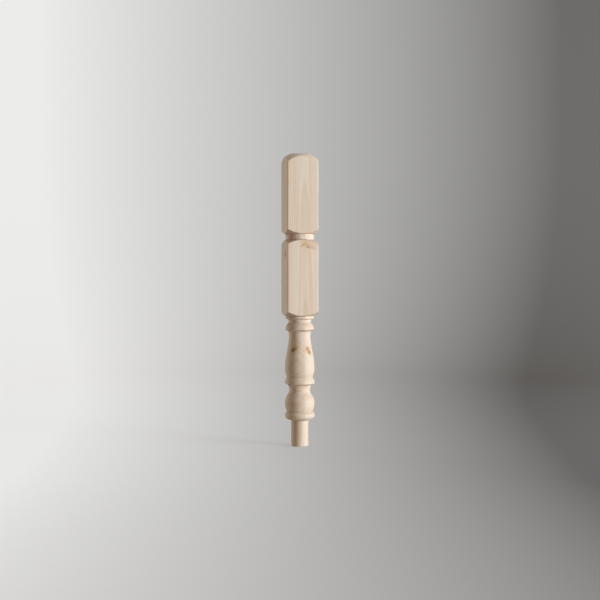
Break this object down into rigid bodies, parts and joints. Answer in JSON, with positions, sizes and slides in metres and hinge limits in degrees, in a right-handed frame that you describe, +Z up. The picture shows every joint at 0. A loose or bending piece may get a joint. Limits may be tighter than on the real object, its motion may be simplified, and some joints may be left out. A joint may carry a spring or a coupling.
{
  "type": "newel post",
  "caption": "Turned pine newel post: square blocks with sloping shoulders over a turned vase, ball and foot bead, with a round spigot below.",
  "frame": {"origin": "centre of the flat end of the spigot, at the bottom of the post", "axes": "+Z up the post's axis; the square blocks' faces look along +X, -X, +Y and -Y"},
  "size_m": [0.09, 0.09, 0.84],
  "materials": {
    "pine": "bare, planed on the flats and sanded off the lathe"
  },
  "bodies": {
    "root": {"newel_post": "pine"}
  },
  "joints": []
}
